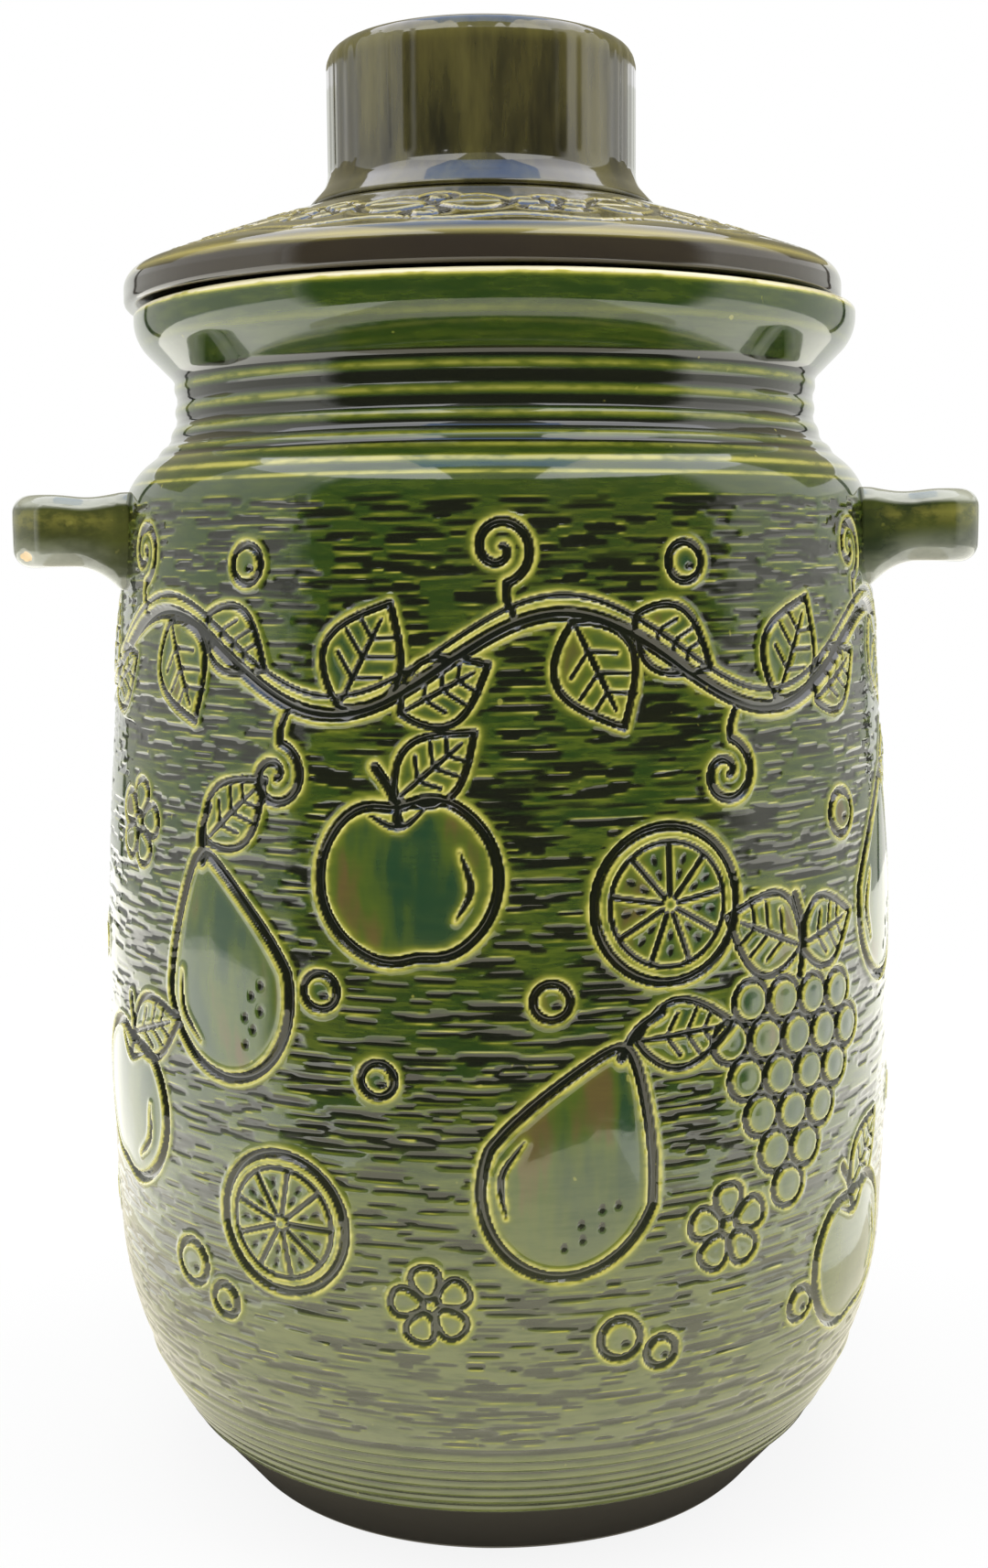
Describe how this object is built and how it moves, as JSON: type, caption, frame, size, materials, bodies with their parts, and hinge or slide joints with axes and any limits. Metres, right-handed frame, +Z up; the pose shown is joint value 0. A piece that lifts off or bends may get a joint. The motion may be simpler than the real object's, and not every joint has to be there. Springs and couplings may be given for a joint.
{
  "type": "rumtopf pot",
  "caption": "Tall two-handled stoneware crock with ringed neck, rounded base and a loose flanged lid with a hollow cylindrical knob.",
  "frame": {"origin": "centre of the foot's flat face, on the surface that the pot stands on", "axes": "+Z up along the pot's axis, +X towards the right handle, +Y away from the viewer of the picture"},
  "size_m": [0.219, 0.1862, 0.33],
  "materials": {
    "body_glaze": "glossy green transparent glaze over relief, dark in the hollows",
    "handle_glaze": "glossy dark green glaze, yellow-green on the edges",
    "lid_glaze": "glossy olive brown glaze",
    "knob_glaze": "glossy olive green glaze"
  },
  "bodies": {
    "pot": {"pot_body": "body_glaze", "handle_left": "handle_glaze", "handle_right": "handle_glaze"},
    "lid_body": {"lid": "lid_glaze", "lid_knob": "knob_glaze"}
  },
  "joints": [
    {"name": "lid_lift", "type": "slide", "parent": "pot", "child": "lid_body", "axis": [0, 0, 1], "range_m": [0, 0.12]}
  ]
}
